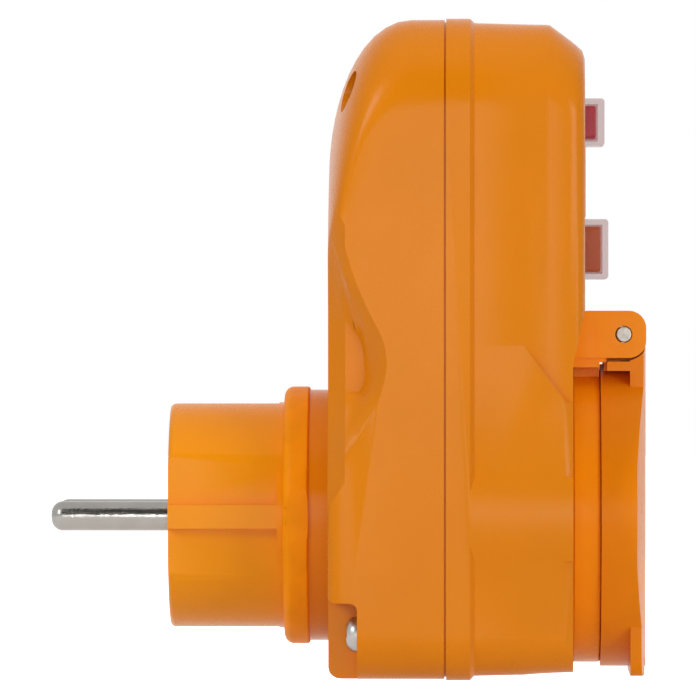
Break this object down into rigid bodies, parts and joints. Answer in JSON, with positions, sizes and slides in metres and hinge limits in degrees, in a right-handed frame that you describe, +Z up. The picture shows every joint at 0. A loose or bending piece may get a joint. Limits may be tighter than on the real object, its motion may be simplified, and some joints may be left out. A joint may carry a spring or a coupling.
{
  "type": "rcd adapter plug",
  "caption": "Orange moulded adapter plug with a residual current switch, test and reset buttons under soft covers, and an outlet behind a sprung hinged lid.",
  "frame": {"origin": "middle of the plug's mating face, between its pins", "axes": "+X from the plug towards the outlet, so that the pins point along -X; +Z up to the buttons; Y across"},
  "size_m": [0.096, 0.07, 0.1056],
  "materials": {
    "orange_shell": "moulded with a fine grain",
    "orange_plug": "moulded with a fine grain",
    "orange_rubber": "smooth",
    "orange_outlet": "smooth",
    "orange_lid": "satin",
    "dark_seal": "matt",
    "plain_steel": "zinc plated",
    "nickel": "nickel plated",
    "bright_steel": "bright",
    "earth_metal": "nickel plated brass",
    "sleeve_brass": "bright",
    "contact_metal": "silvered",
    "inner_plastic": "plain",
    "board": "lacquered",
    "core": "coated",
    "winding": "enamelled",
    "conductor_brown": "insulated",
    "conductor_blue": "insulated",
    "test_red": "smooth",
    "reset_red": "smooth",
    "clear_cover": "soft silicone, hazy",
    "relay_coil": "enamelled",
    "relay_iron": "plain",
    "varistor_blue": "dipped",
    "resistor_body": "lacquered",
    "film_case": "box case",
    "chip_case": "plain"
  },
  "bodies": {
    "housing": {"rear_housing": "orange_shell", "front_housing": "orange_shell", "plug_body": "orange_plug", "frame_seal": "orange_rubber", "plug_seal_ring": "orange_rubber", "outlet_frame": "orange_outlet", "outlet_insert": "orange_outlet", "housing_seal": "dark_seal", "housing_screws": "plain_steel", "retainer_screws": "plain_steel", "plug_pin_left": "nickel", "plug_pin_right": "nickel", "hinge_pin": "bright_steel", "hinge_spring": "bright_steel", "test_spring": "bright_steel", "reset_spring": "bright_steel", "plug_earth_strap": "earth_metal", "earth_rail": "earth_metal", "outlet_earth_clip": "earth_metal", "outlet_contact_left": "sleeve_brass", "outlet_contact_right": "sleeve_brass", "line_contact_left": "contact_metal", "line_contact_right": "contact_metal", "load_contact_left": "contact_metal", "load_contact_right": "contact_metal", "test_contact": "contact_metal", "contact_carrier": "inner_plastic", "plug_retainer": "inner_plastic", "button_guide": "inner_plastic", "circuit_board": "board", "transformer_core": "core", "transformer_winding": "winding", "line_conductor_left": "conductor_brown", "load_conductor_left": "conductor_brown", "line_conductor_right": "conductor_blue", "load_conductor_right": "conductor_blue", "test_cover": "clear_cover", "reset_cover": "clear_cover", "relay_coil": "relay_coil", "relay_yoke": "relay_iron", "varistor": "varistor_blue", "test_resistor": "resistor_body", "capacitor": "film_case", "trip_chip": "chip_case"},
    "lid": {"lid": "orange_lid", "lid_gasket": "orange_rubber"},
    "test_button": {"test_button": "test_red"},
    "reset_button": {"reset_button": "reset_red"},
    "contact_carriage": {"contact_carriage": "inner_plastic", "contact_bridge_left": "sleeve_brass", "contact_bridge_right": "sleeve_brass"},
    "relay_armature": {"relay_armature": "relay_iron"}
  },
  "joints": [
    {"name": "lid_hinge", "type": "hinge", "parent": "housing", "child": "lid", "pos_m": [0.0733, 0, 0.0293], "axis": [0, -1, 0], "range_deg": [0, 110], "stiffness_Nm_per_rad": 0.02, "springref_deg": -34.38, "deforming": ["hinge_spring"]},
    {"name": "test_press", "type": "slide", "parent": "housing", "child": "test_button", "axis": [-1, 0, 0], "range_m": [0, 0.0015], "stiffness_N_per_m": 1200, "springref_m": -0.0008, "deforming": ["test_spring", "test_cover"]},
    {"name": "reset_press", "type": "slide", "parent": "housing", "child": "reset_button", "axis": [-1, 0, 0], "range_m": [0, 0.002], "stiffness_N_per_m": 500, "springref_m": -0.0008, "deforming": ["reset_cover"]},
    {"name": "carriage_slide", "type": "slide", "parent": "housing", "child": "contact_carriage", "axis": [-1, 0, 0], "range_m": [0, 0.002], "stiffness_N_per_m": 500, "springref_m": -0.0008, "deforming": ["reset_spring"]},
    {"name": "trip_armature", "type": "hinge", "parent": "housing", "child": "relay_armature", "pos_m": [0.05845, -0.02875, 0.056], "axis": [0, 0, -1], "range_deg": [0, 4], "stiffness_Nm_per_rad": 0.002, "springref_deg": -5.73}
  ],
  "couplings": [
    {"joint": "carriage_slide", "follows": "reset_press", "ratio": 1}
  ]
}
